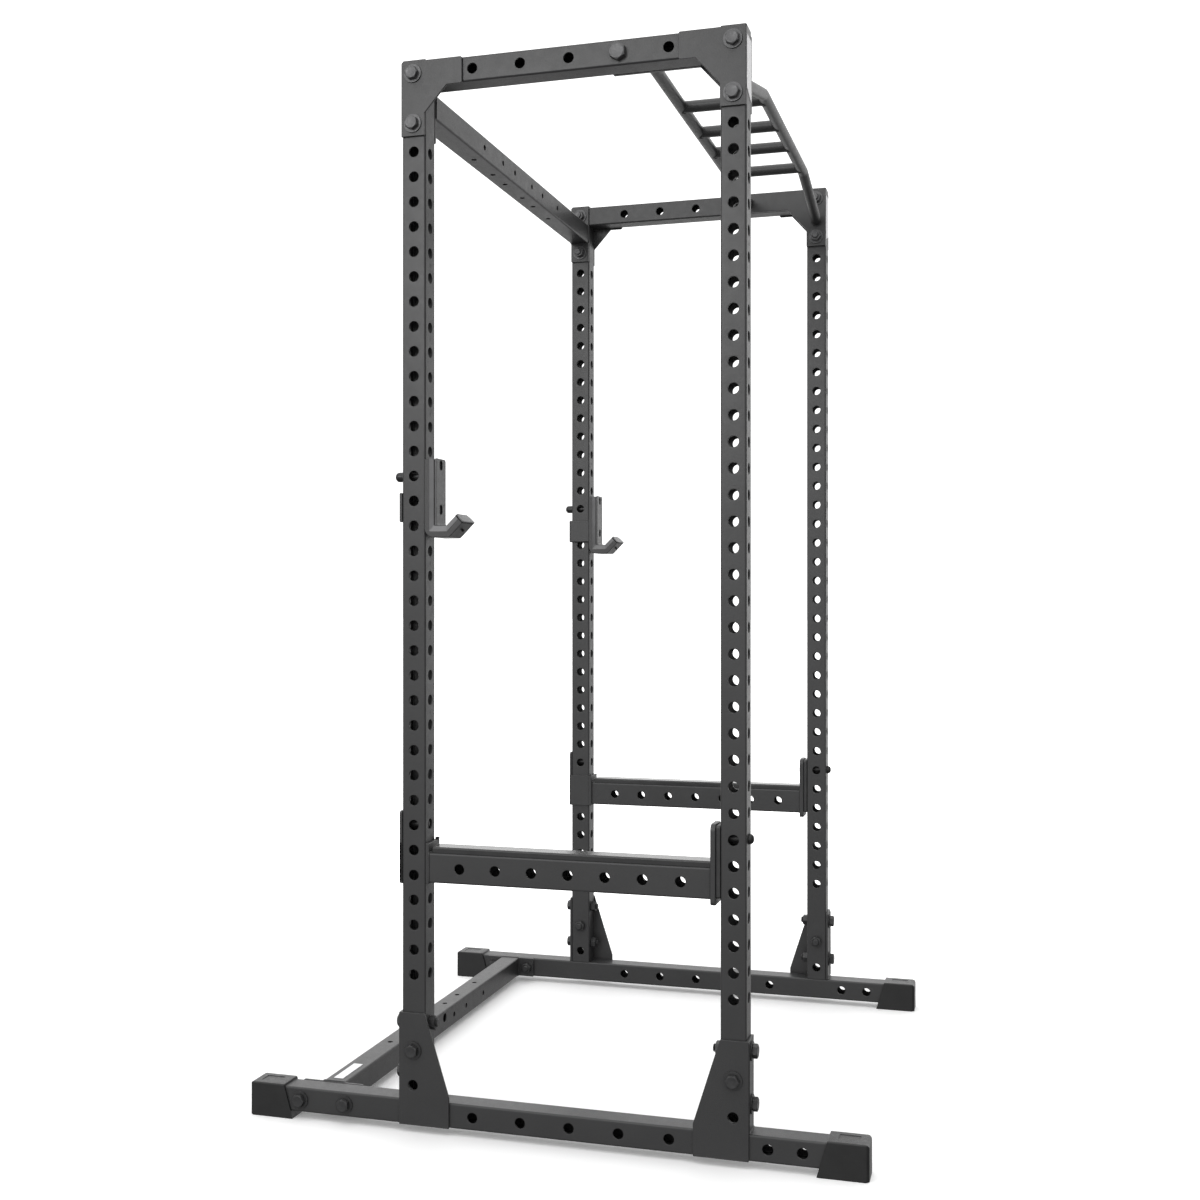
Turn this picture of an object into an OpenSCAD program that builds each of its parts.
// Power cage: four perforated uprights on two long base beams, joined by side
// beams, rear crossmembers and a multi-grip pull-up bar. Two J-hooks and two
// safety bars hang on pins in the uprights and swing inwards about those pins.
// Millimetres. +Z is up, the front of the cage faces -Y, left is -X.
// The origin is on the floor, midway between the two base beams' ends.

/* [Square tube] */
// Outside width of every square tube
tube = 50; // [48:1:52]
// Wall thickness of the square tubes
tube_wall = 3; // [2:0.5:4]
// Outside corner radius of the square tubes
tube_r = 4; // [3:0.5:6]

/* [Cage] */
// Distance between left and right upright centres
span = 1140; // [1000:10:1200]
// Distance between front and rear upright centres
depth = 650; // [640:1:680]
// Centre of the rear uprights, behind the origin
rear_y = 269; // [260:1:280]
// Length of the base beams over their end caps
base_len = 1268; // [1262:2:1300]
// Height of the base beams' underside above the floor
base_clear = 15; // [14:1:18]

/* [Perforation] */
// Distance between holes along an upright
pitch = 50; // [50:1:50]
// Number of hole rows in an upright
hole_rows = 34; // [28:1:36]
// Height of the lowest row of holes
first_hole_z = 315; // [315:1:330]
// Diameter of the pin holes
hole_d = 21; // [20.5:0.1:22]

/* [Fasteners] */
// Nominal diameter of the frame bolts
bolt_d = 16; // [12:1:16]
// Width across flats of the frame bolts' heads
bolt_af = 24; // [20:1:24]
// Washer outside diameter
washer_d = 37; // [30:1:37]
// Nominal diameter of the multi-grip bar's side bolts
big_bolt_d = 20; // [16:1:20]
// Width across flats of those side bolts
big_bolt_af = 30; // [26:1:30]

/* [Plates] */
// Thickness of the corner plates and foot brackets
plate_t = 5; // [4:0.5:6]
// Thickness of the crossmember flanges
flange_t = 6; // [5:0.5:8]
// Thickness of the multi-grip bar's end plates
grip_plate_t = 8; // [6:0.5:10]

/* [Multi-grip bar] */
// Diameter of the rails and rungs
grip_d = 25; // [24:1:32]
// Wall thickness of the rails and rungs
grip_wall = 2.5; // [2:0.5:4]
// Distance of the outer rungs from the cage's middle
rung_outer_x = 252.5; // [240:0.5:260]
// Distance of the inner rungs from the cage's middle
rung_inner_x = 77.5; // [70:0.5:90]
// Distance of the outer rail's bends from the cage's middle
bend_x = 285; // [280:1:320]
// Drop of the outer rail from its bends to its ends
rail_drop = 60; // [55:1:62]

/* [J-hooks] */
// Row of holes that the J-hook pins sit in, counted from the lowest
jhook_row = 20; // [12:1:28]
// Diameter of the J-hook and safety bar pins
pin_d = 20; // [19:0.1:20.3]

/* [Safety bars] */
// Row of holes that the safety bar pins sit in, counted from the lowest
safety_row = 6; // [4:1:12]
// Height of the safety bars' box tube
safety_h = 60; // [50:1:60]
// Thickness of the safety bars' plastic top strip
strip_t = 12; // [8:1:14]

/* [Hidden] */
$fn = 48;

LEFT = -1;
RIGHT = 1;
REAR = 1;
FRONT = -1;
paint = [0.23, 0.23, 0.24];
black = [0.06, 0.06, 0.06];
grey = [0.41, 0.41, 0.42];
steel = [0.16, 0.16, 0.17];

// Clearance between pieces of different bodies
gap = 0.3;
// Clearance that keeps nested pieces of one body from overlapping
fit = 0.05;
eps = 1;

// Places worked out from the driving dimensions
half = tube / 2;
post_x = span / 2;
front_y = rear_y - depth;
mid_y = (rear_y + front_y) / 2;
outer_x = post_x + half;
inner_x = post_x - half;
plate_x = outer_x + plate_t;
base_z = base_clear + half;
post_z0 = base_clear + tube;
last_hole_z = first_hole_z + (hole_rows - 1) * pitch;
low_top_bolt_z = last_hole_z + 55;
high_top_bolt_z = low_top_bolt_z + 2 * pitch;
post_z1 = high_top_bolt_z + half;
top_z = post_z1 - half;
corner_leg_z0 = post_z1 - 150;
cap_t = 4;
cap_end_wall = 5;

// Crossmember places
top_cross_z = (low_top_bolt_z + high_top_bolt_z) / 2;
base_cross_y = rear_y + 203;

// Length of the base crossmember's flanges, which end just short of the rear foot caps
base_flange_w = 136;

// Small holes through a crossmember, measured from its middle, and its middle hole's rise
cross_hole_x = [61, 142, 262];
cross_hole_d = 12;
centre_hole_rise = 8;

// Holes in the base beams' front ends, measured from the front uprights
base_front_hole = [65, 130];

// Foot bolt heights
foot_side_bolt_z = 165;
foot_free_hole_z = 95;
foot_end_bolt_z = [115, 215];

// Gussets: length along the side beam, overlap below it, and corner radius
corner_beam_leg = 130;
corner_leg_drop = 3;
grip_beam_leg = 275;
gusset_r = 4;

// Multi-grip bar places
inner_rail_y = front_y + 178;
outer_rail_y = front_y - 2;
grip_plate_x = inner_x - grip_plate_t;
big_bolt_y = front_y + 225;

// J-hook and safety bar pin heights
jhook_z = first_hole_z + jhook_row * pitch;
safety_z = first_hole_z + safety_row * pitch;

// Bolt head, nut and washer thicknesses
head_h = 10;
nut_h = 13;
washer_t = 3;
thread_end = 5;
big_head_h = 12.5;
big_nut_h = 16;

// J-hook side outline: y is measured to the front and z upwards from the pin's axis
hook_w = 62.6;
hook_back = half + gap;
hook_face = hook_back + 19.4;
hook_top = 33;
hook_bottom = -124;
arm_top = -100;
arm_end = 71;
tip_rise = 23;
tip_t = 15.5;
cap_len = 2.1;

// J-hook liner, saddle, pin and screws
liner_t = 4;
liner_w = 50;
screw_z = [22, -67];
screw_d = 5;
grub_y = -arm_end - tip_rise + 3;
grub_z = arm_top - 4.5;
saddle_t = 6;
saddle_top = -33;
saddle_bottom = -92;
pin_socket = 12;

// Safety bar: the beam's ends, and its heights from the pins' axis
safety_rear = rear_y - half - gap - 7.5;
safety_front = front_y + half + gap + 18.5;
safety_bottom = -114;
safety_top = safety_bottom + safety_h;
safety_mid = (safety_bottom + safety_top) / 2;
front_plate_t = 10;
strip_rear_gap = 7;

// ---------- Shared shapes ----------

module rounded_square(w, h, r) {
    square([w - 2 * r, h], center = true);
    square([w, h - 2 * r], center = true);
    for (x = [-1, 1], y = [-1, 1])
        translate([x * (w / 2 - r), y * (h / 2 - r)]) circle(r);
}

module tube_section(w, h) {
    difference() {
        rounded_square(w, h, tube_r);
        rounded_square(w - 2 * tube_wall, h - 2 * tube_wall, tube_r - tube_wall / 2);
    }
}

// Extrudes a (y, z) outline along X, centred on x = 0
module along_x(length) {
    rotate([90, 0, 90]) linear_extrude(length, center = true) children();
}

// Extrudes an (x, z) outline along Y, from y0 to y1
module along_y(y0, y1) {
    translate([0, y1, 0]) rotate([90, 0, 0]) linear_extrude(y1 - y0) children();
}

module bore_x(d, length) {
    rotate([0, 90, 0]) cylinder(d = d, h = length, center = true);
}

module bore_y(d, length) {
    rotate([90, 0, 0]) cylinder(d = d, h = length, center = true);
}

// Puts a left-hand piece on its side of the cage: local +X points inwards
module on_side(side, y, z) {
    translate([side * post_x, y, z]) mirror([side > 0 ? 1 : 0, 0, 0]) children();
}

// Hexagonal head or nut of the given thickness, standing along +Z
module hexagon(af, h) {
    cylinder(d = af / cos(30), h = h, $fn = 6);
}

// ---------- Frame tubes ----------

module upright(side, end) {
    y = end == REAR ? rear_y : front_y;
    color(paint) translate([side * post_x, y, 0])
        difference() {
            translate([0, 0, post_z0]) linear_extrude(post_z1 - post_z0) tube_section(tube, tube);
            for (row = [0 : hole_rows - 1])
                translate([0, 0, first_hole_z + row * pitch]) {
                    bore_x(hole_d, tube + 2 * eps);
                    bore_y(hole_d, tube + 2 * eps);
                }
            for (z = [low_top_bolt_z, high_top_bolt_z, foot_side_bolt_z])
                translate([0, 0, z]) bore_x(bolt_d + 1, tube + 2 * eps);
            translate([0, 0, foot_free_hole_z]) bore_x(hole_d, tube + 2 * eps);
            for (z = foot_end_bolt_z) translate([0, 0, z]) bore_y(bolt_d + 1, tube + 2 * eps);
        }
}

module top_end_caps() {
    color(paint)
        for (side = [LEFT, RIGHT], y = [rear_y, front_y])
            translate([side * post_x, y, post_z1]) linear_extrude(cap_t) rounded_square(tube, tube, tube_r);
}

module top_beam(side) {
    color(paint) translate([side * post_x, 0, top_z])
        difference() {
            along_y(front_y + half, rear_y - half) tube_section(tube, tube);
            for (step = [-2, -1, 0, 2])
                translate([0, mid_y - step * 2 * pitch, 0]) bore_x(hole_d, tube + 2 * eps);
            translate([0, big_bolt_y, 0]) bore_x(big_bolt_d + 1, tube + 2 * eps);
        }
}

module base_beam(side) {
    end_y = base_len / 2 - cap_end_wall;
    color(paint) translate([side * post_x, 0, base_z])
        difference() {
            along_y(-end_y, end_y) tube_section(tube, tube);
            for (step = [-2 : 2])
                translate([0, mid_y - step * 2 * pitch, 0]) bore_x(hole_d, tube + 2 * eps);
            for (y = base_front_hole)
                translate([0, front_y - y, 0]) bore_x(hole_d, tube + 2 * eps);
            for (y = [-pitch, pitch])
                translate([0, base_cross_y + y, 0]) bore_x(bolt_d + 1, tube + 2 * eps);
        }
}

// ---------- Rear crossmembers ----------

module crossmember(y, z, centre_hole) {
    color(paint) translate([0, y, z])
        difference() {
            along_x(2 * (inner_x - flange_t)) tube_section(tube, tube);
            for (x = cross_hole_x, side = [LEFT, RIGHT])
                translate([side * x, 0, 0]) {
                    bore_y(cross_hole_d, tube + 2 * eps);
                    cylinder(d = cross_hole_d, h = tube + 2 * eps, center = true);
                }
            if (centre_hole) translate([0, 0, centre_hole_rise]) bore_y(hole_d, tube + 2 * eps);
        }
}

// A pair of end flanges; size and bolt offsets run along Y and Z
module flange_pair(y, z, size_y, size_z, bolt_y, bolt_z) {
    color(paint)
        for (side = [LEFT, RIGHT])
            translate([side * (inner_x - flange_t / 2), y, z])
                difference() {
                    along_x(flange_t) rounded_square(size_y, size_z, 3);
                    for (k = [-1, 1])
                        translate([0, k * bolt_y, k * bolt_z]) bore_x(bolt_d + 1, flange_t + 2 * eps);
                }
}

module top_crossmember() crossmember(rear_y, top_cross_z, false);
module top_crossmember_flanges() flange_pair(rear_y, top_cross_z, tube, 3 * pitch, 0, pitch);
module base_crossmember() crossmember(base_cross_y, base_z, true);
module base_crossmember_flanges() flange_pair(base_cross_y, base_z, base_flange_w, tube, pitch, 0);

// ---------- Corner plates and foot brackets ----------

// The sliver outside the radius that rounds off a square corner at the origin
module corner_sliver(r) {
    difference() {
        translate([-eps, -eps]) square(r + eps);
        translate([r, r]) circle(r);
    }
}

// Gusset outline: a leg along the side beam and a leg down the upright.
// y runs from the upright's outer edge at 0 towards the cage's middle.
module gusset_outline(beam_leg, drop) {
    leg_z = post_z1 - tube - drop;
    notch_z = post_z1 - 2 * tube - 5;
    difference() {
        polygon([
            [0, corner_leg_z0], [0, post_z1], [beam_leg, post_z1], [beam_leg, leg_z],
            [2 * tube - drop, leg_z], [tube, notch_z], [tube, corner_leg_z0]
        ]);
        translate([0, post_z1]) rotate(-90) corner_sliver(gusset_r);
        translate([beam_leg, post_z1]) rotate(180) corner_sliver(gusset_r);
        translate([beam_leg, leg_z]) rotate(90) corner_sliver(gusset_r);
    }
}

module gusset(side, end, x, thickness, beam_leg, drop) {
    y = end == REAR ? rear_y + half : front_y - half;
    translate([side * x, y, 0]) mirror([0, end == REAR ? 1 : 0, 0])
        along_x(thickness) gusset_outline(beam_leg, drop);
}

module corner_plate(side, end) {
    y = end == REAR ? rear_y : front_y;
    color(paint)
        difference() {
            gusset(side, end, outer_x + plate_t / 2, plate_t, corner_beam_leg, corner_leg_drop);
            for (z = [low_top_bolt_z, high_top_bolt_z])
                translate([side * outer_x, y, z]) bore_x(bolt_d + 1, 3 * plate_t);
        }
}

module multigrip_plate(side) {
    color(paint)
        difference() {
            gusset(side, FRONT, inner_x - grip_plate_t / 2, grip_plate_t, grip_beam_leg, 0);
            for (z = [low_top_bolt_z, high_top_bolt_z])
                translate([side * inner_x, front_y, z]) bore_x(bolt_d + 1, 3 * grip_plate_t);
            translate([side * inner_x, big_bolt_y, top_z]) bore_x(big_bolt_d + 1, 3 * grip_plate_t);
        }
}

// Welded L of a side plate and an end plate that holds an upright on its base beam
module foot_bracket(side, end) {
    top = 240;
    low = 77;
    skirt = 52;
    y = end == REAR ? rear_y : front_y;
    color(paint) translate([side * post_x, y, 0]) mirror([side > 0 ? 1 : 0, 0, 0])
        mirror([0, end == REAR ? 0 : 1, 0])
            difference() {
                union() {
                    translate([-half - plate_t / 2, 0, 0]) along_x(plate_t)
                        polygon([
                            [half + plate_t, base_clear], [half + plate_t, top], [-half, top],
                            [-half - skirt, low], [-half - skirt, base_clear]
                        ]);
                    translate([-half, half, post_z0]) cube([tube, plate_t, top - post_z0]);
                }
                translate([-half, 0, foot_side_bolt_z]) bore_x(bolt_d + 1, 3 * plate_t);
                translate([-half, 0, foot_free_hole_z]) bore_x(hole_d, 3 * plate_t);
                for (z = foot_end_bolt_z)
                    translate([0, half, z]) bore_y(bolt_d + 1, 3 * plate_t);
            }
}

// Plastic shoe on the end of a base beam, with a slanted mouth and a thick sole
module foot_cap(side, end) {
    wall = 4.5;
    top = base_clear + tube + wall;
    width = tube + 2 * wall;
    length_top = 77;
    length_sole = 97;
    corner_r = 8;
    recess = [30, 40, 1];
    color(black) translate([side * post_x, end * base_len / 2, 0]) mirror([0, end == REAR ? 0 : 1, 0])
        difference() {
            intersection() {
                along_x(width) polygon([
                    [-length_sole, 0], [0, 0], [0, top - corner_r], [-corner_r, top], [-length_top, top]
                ]);
                linear_extrude(top) difference() {
                    translate([-width / 2, -length_sole]) square([width, length_sole]);
                    translate([width / 2, 0]) rotate(180) corner_sliver(corner_r);
                    translate([-width / 2, 0]) rotate(-90) corner_sliver(corner_r);
                }
            }
            translate([0, 0, base_z]) along_y(-length_sole - eps, -cap_end_wall)
                rounded_square(tube + 2 * fit, tube + 2 * fit, tube_r);
            translate([0, -length_top / 2, top]) cube([recess[0], recess[1], 2 * recess[2]], center = true);
        }
}

// ---------- Multi-grip bar ----------

// One straight stretch of round bar between two points of an (x, z) plane
module bar_between(p, q, d, y) {
    run = q - p;
    length = norm(run);
    angle = atan2(run[0], run[1]);
    translate([p[0], y, p[1]]) rotate([0, angle, 0]) cylinder(d = d, h = length);
}

module inner_rail_solid(d) {
    translate([0, inner_rail_y, top_z]) bore_x(d, 2 * grip_plate_x);
}

// Straight middle with spherical bends and two sloping ends that run into the plates
module outer_rail_solid(d) {
    slope = rail_drop / (grip_plate_x - bend_x);
    overrun = 20;
    translate([0, outer_rail_y, top_z]) bore_x(d, 2 * bend_x);
    for (side = [LEFT, RIGHT]) {
        translate([side * bend_x, outer_rail_y, top_z]) sphere(d = d);
        bar_between(
            [side * bend_x, top_z],
            [side * (grip_plate_x + overrun), top_z - rail_drop - overrun * slope],
            d, outer_rail_y
        );
    }
}

module multigrip_inner_rail() {
    color(paint)
        difference() {
            inner_rail_solid(grip_d);
            translate([0, inner_rail_y, top_z]) bore_x(grip_d - 2 * grip_wall, 2 * grip_plate_x + 2 * eps);
        }
}

module multigrip_outer_rail() {
    color(paint)
        intersection() {
            difference() {
                outer_rail_solid(grip_d);
                outer_rail_solid(grip_d - 2 * grip_wall);
            }
            translate([-grip_plate_x, outer_rail_y - grip_d, top_z - 2 * rail_drop])
                cube([2 * grip_plate_x, 2 * grip_d, 3 * rail_drop]);
        }
}

// Rungs run front to back and are coped to sit against both rails
module multigrip_rungs() {
    color(paint)
        for (x = [-rung_outer_x, -rung_inner_x, rung_inner_x, rung_outer_x])
            translate([x, 0, top_z]) difference() {
                along_y(outer_rail_y, inner_rail_y) circle(d = grip_d);
                along_y(outer_rail_y - eps, inner_rail_y + eps) circle(d = grip_d - 2 * grip_wall);
                for (y = [outer_rail_y, inner_rail_y])
                    translate([0, y, 0]) bore_x(grip_d + 2 * fit, 2 * grip_d);
            }
}

// ---------- Fasteners ----------
// Each fastener stands along its local +Z, which points out of the cage

// Shank from z = 0 to grip, with a hexagonal head above it
module hex_bolt(d, af, head, grip) {
    cylinder(d = d, h = grip);
    translate([0, 0, grip]) hexagon(af, head);
}

// Points local +Z outwards through the side faces
module facing_x(side) {
    rotate([0, side * 90, 0]) children();
}

// Points local +Z outwards through the front or rear faces
module facing_y(end) {
    rotate([-end * 90, 0, 0]) children();
}

function bolt_grip(stack) = stack + 2 * washer_t + nut_h + thread_end;

// Inner clamped face behind each top corner: a flange at the rear, a grip plate at the front
function top_inner_x(end) = end == REAR ? inner_x - flange_t : grip_plate_x;

module top_bolts() {
    color(steel)
        for (side = [LEFT, RIGHT], end = [REAR, FRONT], z = [low_top_bolt_z, high_top_bolt_z]) {
            grip = bolt_grip(plate_x - top_inner_x(end));
            y = end == REAR ? rear_y : front_y;
            translate([side * (plate_x + washer_t), y, z]) facing_x(side)
                translate([0, 0, -grip]) hex_bolt(bolt_d, bolt_af, head_h, grip);
        }
}

module multigrip_bolts() {
    grip = tube + grip_plate_t + big_nut_h + thread_end;
    color(steel)
        for (side = [LEFT, RIGHT])
            translate([side * outer_x, big_bolt_y, top_z]) facing_x(side)
                translate([0, 0, -grip]) hex_bolt(big_bolt_d, big_bolt_af, big_head_h, grip);
}

module base_bolts() {
    foot_grip = bolt_grip(tube + plate_t) - washer_t;
    cross_grip = bolt_grip(tube + flange_t) - washer_t;
    color(steel)
        for (side = [LEFT, RIGHT]) {
            for (end = [REAR, FRONT]) {
                y = end == REAR ? rear_y : front_y;
                translate([side * (plate_x + washer_t), y, foot_side_bolt_z]) facing_x(side)
                    translate([0, 0, -foot_grip]) hex_bolt(bolt_d, bolt_af, head_h, foot_grip);
                for (z = foot_end_bolt_z)
                    translate([side * post_x, y + end * (half + plate_t + washer_t), z]) facing_y(end)
                        translate([0, 0, -foot_grip]) hex_bolt(bolt_d, bolt_af, head_h, foot_grip);
            }
            for (dy = [-pitch, pitch])
                translate([side * (outer_x + washer_t), base_cross_y + dy, base_z]) facing_x(side)
                    translate([0, 0, -cross_grip]) hex_bolt(bolt_d, bolt_af, head_h, cross_grip);
        }
}

// Washer lying on z = 0 and rising to washer_t
module washer() {
    difference() {
        cylinder(d = washer_d, h = washer_t);
        translate([0, 0, -eps]) cylinder(d = bolt_d + 1, h = washer_t + 2 * eps);
    }
}

module washers() {
    color(steel)
        for (side = [LEFT, RIGHT]) {
            for (end = [REAR, FRONT]) {
                y = end == REAR ? rear_y : front_y;
                for (z = [low_top_bolt_z, high_top_bolt_z, foot_side_bolt_z])
                    translate([side * plate_x, y, z]) facing_x(side) washer();
                for (z = [low_top_bolt_z, high_top_bolt_z])
                    translate([side * top_inner_x(end), y, z]) facing_x(-side) washer();
                for (z = foot_end_bolt_z)
                    translate([side * post_x, y + end * (half + plate_t), z]) facing_y(end) washer();
            }
            for (dy = [-pitch, pitch]) {
                translate([side * outer_x, base_cross_y + dy, base_z]) facing_x(side) washer();
                translate([side * (inner_x - flange_t), base_cross_y + dy, base_z]) facing_x(-side) washer();
            }
        }
}

// Nut lying on z = 0, bored with a running clearance on its bolt
module nut(d, af, h) {
    difference() {
        hexagon(af, h);
        translate([0, 0, -eps]) cylinder(d = d + 2 * fit, h = h + 2 * eps);
    }
}

module nuts() {
    color(steel)
        for (side = [LEFT, RIGHT]) {
            for (end = [REAR, FRONT]) {
                y = end == REAR ? rear_y : front_y;
                for (z = [low_top_bolt_z, high_top_bolt_z])
                    translate([side * (top_inner_x(end) - washer_t), y, z]) facing_x(-side)
                        nut(bolt_d, bolt_af, nut_h);
                translate([side * inner_x, y, foot_side_bolt_z]) facing_x(-side)
                    nut(bolt_d, bolt_af, nut_h);
                for (z = foot_end_bolt_z)
                    translate([side * post_x, y - end * half, z]) facing_y(-end)
                        nut(bolt_d, bolt_af, nut_h);
            }
            for (dy = [-pitch, pitch])
                translate([side * (inner_x - flange_t - washer_t), base_cross_y + dy, base_z]) facing_x(-side)
                    nut(bolt_d, bolt_af, nut_h);
            translate([side * grip_plate_x, big_bolt_y, top_z]) facing_x(-side)
                nut(big_bolt_d, big_bolt_af, big_nut_h);
        }
}

// ---------- Labels ----------

// Plain white plates: one at the top of each front upright, one on the base crossmember
module label_plates() {
    label_t = 0.8;
    label_w = 44;
    sticker = [96, 21];
    sticker_x = -473;
    color("white") {
        for (side = [LEFT, RIGHT])
            on_side(side, 0, 0) along_y(front_y - half - label_t, front_y - half)
                polygon([
                    [-label_w / 2, last_hole_z + 64], [-label_w / 2, post_z1 - 8],
                    [label_w / 2, post_z1 - 8], [label_w / 2, last_hole_z + 48]
                ]);
        translate([sticker_x, base_cross_y, base_clear + tube]) linear_extrude(label_t)
            rounded_square(sticker[0], sticker[1], 2);
    }
}

// ---------- J-hooks ----------
// Local frame: the pin's axis is y, the upright's centre is the origin,
// -Y points to the front and +X points into the cage

// Side outline of the hook without its tip cap; outer heel rounded
module jhook_outline() {
    heel_r = 20;
    difference() {
        polygon([
            [-hook_back, hook_top], [-hook_back, hook_bottom],
            [-arm_end - tip_rise + tip_t, hook_bottom],
            [-arm_end - tip_rise - tip_t + cap_len, arm_top + tip_rise - tip_t - cap_len],
            [-arm_end - tip_rise + cap_len, arm_top + tip_rise - cap_len],
            [-arm_end, arm_top], [-hook_face, arm_top], [-hook_face, hook_top]
        ]);
        translate([-hook_back, hook_bottom]) rotate(90) corner_sliver(heel_r);
    }
}

module jhook_body(side) {
    on_side(side, rear_y, jhook_z)
        color(paint) difference() {
            along_x(hook_w) jhook_outline();
            translate([0, -hook_back, 0]) bore_y(pin_d + 2 * fit, 2 * pin_socket);
            for (z = screw_z) translate([0, -hook_face, z]) bore_y(screw_d + 2 * fit, 2 * pin_socket);
            translate([0, grub_y, grub_z]) rotate([45, 0, 0])
                cylinder(d = screw_d + 2 * fit, h = 2 * pin_socket, center = true);
        }
}

// Plastic facing of the hook's throat, swept forward into the arm at its foot
module jhook_liner(side) {
    foot_r = 6;
    slot_w = 12;
    slot_h = 20;
    on_side(side, rear_y, jhook_z)
        color(grey) difference() {
            along_x(liner_w)
                difference() {
                    translate([-hook_face - liner_t - foot_r, arm_top])
                        square([liner_t + foot_r, hook_top + 2 - arm_top]);
                    translate([-hook_face - liner_t - foot_r, arm_top + foot_r]) circle(foot_r);
                    translate([-hook_face - liner_t - 2 * foot_r, arm_top + foot_r])
                        square([2 * foot_r, hook_top - arm_top]);
                }
            for (z = screw_z)
                translate([0, 0, z]) along_y(-hook_face - liner_t - eps, -hook_face + eps)
                    rounded_square(slot_w, slot_h, slot_w / 2 - 0.5);
        }
}

// Bent plate welded behind the hook: wraps the upright's inner and rear faces
module jhook_saddle(side) {
    on_side(side, rear_y, jhook_z)
        color(paint) saddle_plate(saddle_bottom, saddle_top, hook_back);
}

// L-shaped plate from z0 to z1 whose inner leg starts at y = -front
module saddle_plate(z0, z1, front) {
    bend_r = 5;
    inside = half + gap;
    outside = inside + saddle_t;
    translate([0, 0, z0]) linear_extrude(z1 - z0) {
        translate([inside, -front]) square([saddle_t, front + outside - bend_r]);
        translate([-half, inside]) square([half + outside - bend_r, saddle_t]);
        intersection() {
            translate([outside - bend_r, outside - bend_r]) circle(bend_r);
            translate([inside, inside]) square([saddle_t, saddle_t]);
        }
    }
}

// Round pin along local Z with a rounded nose at the top
module nosed_pin(length) {
    nose_r = 8;
    rotate_extrude() intersection() {
        union() {
            square([pin_d / 2, length - nose_r]);
            square([pin_d / 2 - nose_r, length]);
            translate([pin_d / 2 - nose_r, length - nose_r]) circle(nose_r);
        }
        square([pin_d, length]);
    }
}

module jhook_pin(side) {
    nose_y = half + 24;
    on_side(side, rear_y, jhook_z)
        color(steel) translate([0, -hook_back - pin_socket, 0]) rotate([-90, 0, 0])
            nosed_pin(nose_y + hook_back + pin_socket);
}

module jhook_tip_cap(side) {
    inner = [-arm_end - tip_rise, arm_top + tip_rise];
    outer = inner + [-tip_t, -tip_t];
    back = [cap_len, -cap_len];
    on_side(side, rear_y, jhook_z)
        color(grey) along_x(hook_w) polygon([inner, outer, outer + back, inner + back]);
}

// Button-head screws in the liner's slots and a grub screw under the tip
module jhook_screws(side) {
    head_d = 9.5;
    head_t = 2.5;
    shank_l = 10;
    grub_l = 6;
    grub_depth = 9;
    on_side(side, rear_y, jhook_z)
        color(steel) {
            for (z = screw_z)
                translate([0, -hook_face, z]) rotate([90, 0, 0]) {
                    cylinder(d = head_d, h = head_t);
                    translate([0, 0, -shank_l]) cylinder(d = screw_d, h = shank_l);
                }
            translate([0, grub_y, grub_z]) rotate([45, 0, 0])
                translate([0, 0, -grub_depth]) cylinder(d = screw_d, h = grub_l);
        }
}

// ---------- Safety bars ----------
// Local frame: y as in the cage, z from the pins' axis, +X points into the cage

module safety_beam(side) {
    hole_step = 75;
    hole_shift = 2.5;
    on_side(side, 0, safety_z)
        color(paint) difference() {
            translate([0, 0, safety_mid])
                along_y(safety_front, safety_rear) tube_section(tube, safety_h);
            for (k = [-3 : 3])
                translate([0, mid_y + hole_shift + k * hole_step, safety_mid])
                    bore_x(hole_d, tube + 2 * eps);
        }
}

module safety_strip(side) {
    strip_w = 46;
    on_side(side, 0, safety_z)
        color(black) along_y(safety_front, safety_rear - strip_rear_gap)
            translate([0, safety_top + strip_t / 2]) rounded_square(strip_w, strip_t, 3);
}

// Upright plate at the front end with a rounded top and the pin's hole
module safety_front_plate(side) {
    plate_w = 60;
    plate_top = 29;
    plate_bottom = -125;
    on_side(side, 0, safety_z)
        color(paint) difference() {
            along_y(safety_front - front_plate_t, safety_front)
                translate([0, (plate_top + plate_bottom) / 2])
                    rounded_square(plate_w, plate_top - plate_bottom, 8);
            translate([0, safety_front - front_plate_t / 2, 0])
                bore_y(pin_d + 2 * fit, front_plate_t + 2 * eps);
        }
}

// Plastic pad between the front plate and the upright
module safety_pad(side) {
    pad_top = 26;
    pad_bottom = -112;
    on_side(side, 0, safety_z)
        color(black) difference() {
            along_y(front_y + half + gap, safety_front - front_plate_t)
                translate([0, (pad_top + pad_bottom) / 2])
                    rounded_square(tube, pad_top - pad_bottom, 5);
            translate([0, front_y + half, 0]) bore_y(pin_d + 2 * fit, 2 * front_plate_t);
        }
}

// Rear bracket: lip behind the upright, leg along its inner face, flange on the beam's end
module safety_saddle(side) {
    lip_top = 28;
    lip_bottom = -119;
    leg_top = -35;
    leg_bottom = -117;
    inside = half + gap;
    outside = inside + saddle_t;
    lip_back = rear_y + outside;
    on_side(side, 0, safety_z)
        color(paint) difference() {
            union() {
                translate([0, rear_y, 0]) saddle_plate(leg_bottom, leg_top, inside);
                translate([0, rear_y + inside, (lip_top + lip_bottom) / 2]) along_y(0, saddle_t)
                    rounded_square(tube, lip_top - lip_bottom, 6);
                along_y(safety_rear, rear_y - inside)
                    translate([outside / 2 - half / 2, (leg_top + leg_bottom) / 2])
                        square([half + outside, leg_top - leg_bottom], center = true);
                translate([inside, safety_rear, leg_top]) cube([saddle_t, rear_y - inside - safety_rear, 5]);
            }
            translate([0, lip_back - saddle_t / 2, 0]) bore_y(pin_d + 2 * fit, saddle_t + 2 * eps);
        }
}

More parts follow.
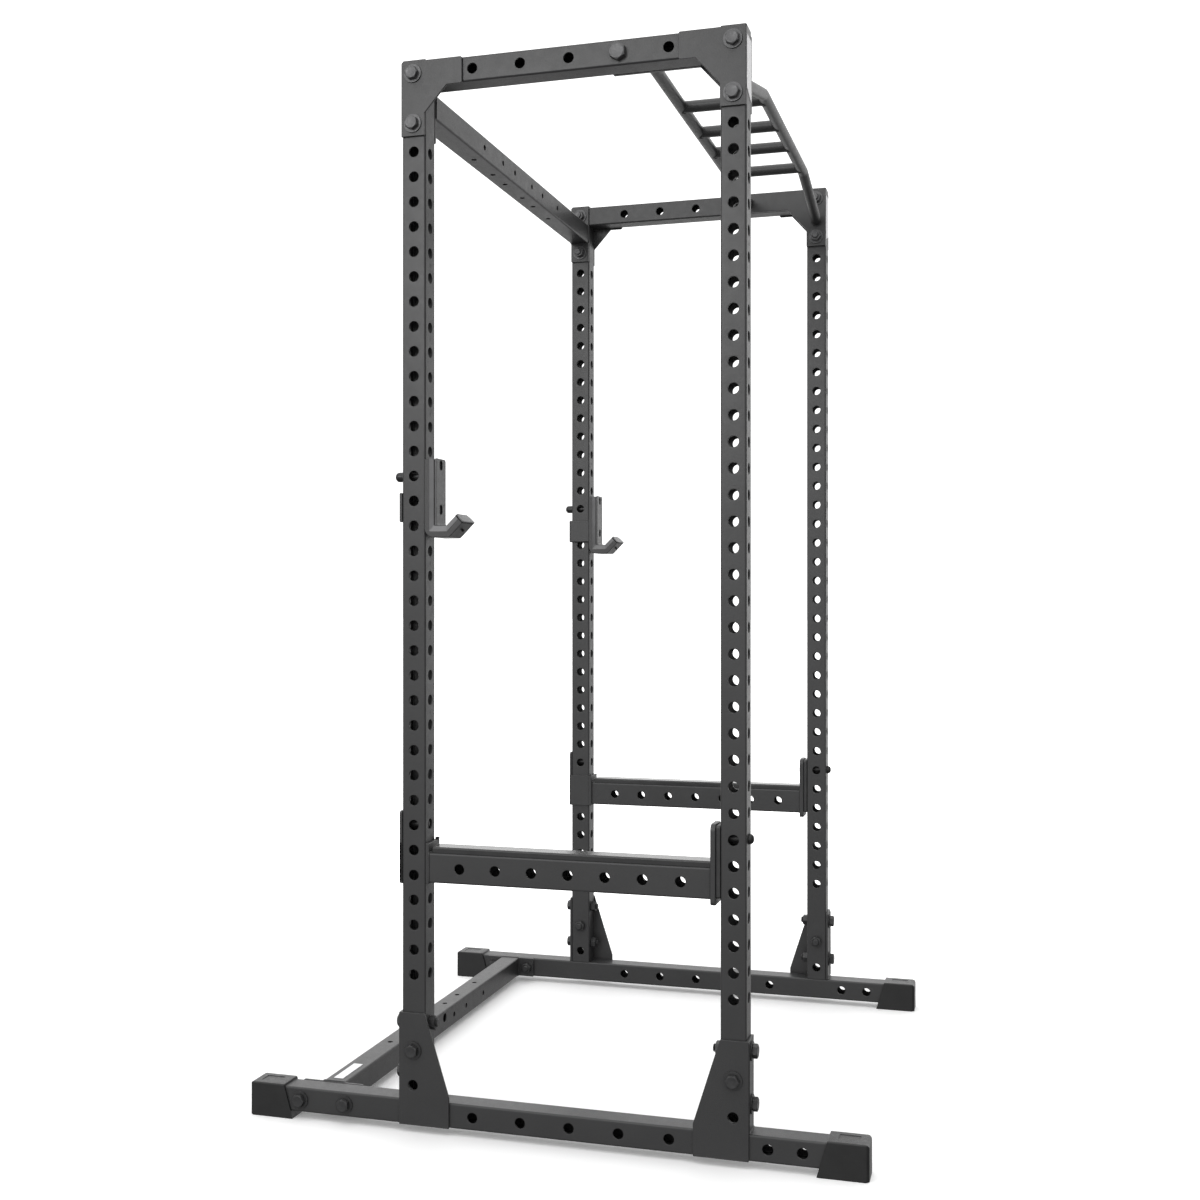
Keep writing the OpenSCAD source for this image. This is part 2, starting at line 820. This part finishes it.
// Front pin through the plate and pad; rear pin through the lip, both pointing to the front
module safety_pins(side) {
    head_d = 24;
    front_head_t = 3;
    rear_head_t = 2.5;
    front_nose_y = front_y - half - 10;
    rear_nose_y = rear_y - half + 2;
    rear_lip_y = rear_y + half + gap + saddle_t;
    on_side(side, 0, safety_z)
        color(steel) {
            translate([0, safety_front, 0]) rotate([90, 0, 0]) nosed_pin(safety_front - front_nose_y);
            translate([0, safety_front, 0]) rotate([-90, 0, 0]) cylinder(d = head_d, h = front_head_t);
            translate([0, rear_lip_y, 0]) rotate([90, 0, 0]) nosed_pin(rear_lip_y - rear_nose_y);
            translate([0, rear_lip_y, 0]) rotate([-90, 0, 0]) cylinder(d = head_d, h = rear_head_t);
        }
}

// ---------- Assembly ----------

upright(LEFT, REAR);  // upright_rear_left
upright(RIGHT, REAR);  // upright_rear_right
upright(LEFT, FRONT);  // upright_front_left
upright(RIGHT, FRONT);  // upright_front_right
top_end_caps();
top_beam(LEFT);  // top_beam_left
top_beam(RIGHT);  // top_beam_right
corner_plate(LEFT, REAR);  // corner_plate_rear_left
corner_plate(RIGHT, REAR);  // corner_plate_rear_right
corner_plate(LEFT, FRONT);  // corner_plate_front_left
corner_plate(RIGHT, FRONT);  // corner_plate_front_right
multigrip_plate(LEFT);  // multigrip_plate_left
multigrip_plate(RIGHT);  // multigrip_plate_right
multigrip_inner_rail();
multigrip_outer_rail();
multigrip_rungs();
top_crossmember();
top_crossmember_flanges();
base_beam(LEFT);  // base_beam_left
base_beam(RIGHT);  // base_beam_right
foot_bracket(LEFT, REAR);  // foot_bracket_rear_left
foot_bracket(RIGHT, REAR);  // foot_bracket_rear_right
foot_bracket(LEFT, FRONT);  // foot_bracket_front_left
foot_bracket(RIGHT, FRONT);  // foot_bracket_front_right
base_crossmember();
base_crossmember_flanges();
foot_cap(LEFT, REAR);  // foot_cap_rear_left
foot_cap(RIGHT, REAR);  // foot_cap_rear_right
foot_cap(LEFT, FRONT);  // foot_cap_front_left
foot_cap(RIGHT, FRONT);  // foot_cap_front_right
top_bolts();
multigrip_bolts();
base_bolts();
washers();
nuts();
label_plates();
jhook_body(LEFT);  // jhook_body_left
jhook_liner(LEFT);  // jhook_liner_left
jhook_saddle(LEFT);  // jhook_saddle_left
jhook_pin(LEFT);  // jhook_pin_left
jhook_tip_cap(LEFT);  // jhook_tip_cap_left
jhook_screws(LEFT);  // jhook_screws_left
jhook_body(RIGHT);  // jhook_body_right
jhook_liner(RIGHT);  // jhook_liner_right
jhook_saddle(RIGHT);  // jhook_saddle_right
jhook_pin(RIGHT);  // jhook_pin_right
jhook_tip_cap(RIGHT);  // jhook_tip_cap_right
jhook_screws(RIGHT);  // jhook_screws_right
safety_beam(LEFT);  // safety_beam_left
safety_strip(LEFT);  // safety_strip_left
safety_front_plate(LEFT);  // safety_front_plate_left
safety_pad(LEFT);  // safety_pad_left
safety_saddle(LEFT);  // safety_saddle_left
safety_pins(LEFT);  // safety_pins_left
safety_beam(RIGHT);  // safety_beam_right
safety_strip(RIGHT);  // safety_strip_right
safety_front_plate(RIGHT);  // safety_front_plate_right
safety_pad(RIGHT);  // safety_pad_right
safety_saddle(RIGHT);  // safety_saddle_right
safety_pins(RIGHT);  // safety_pins_right
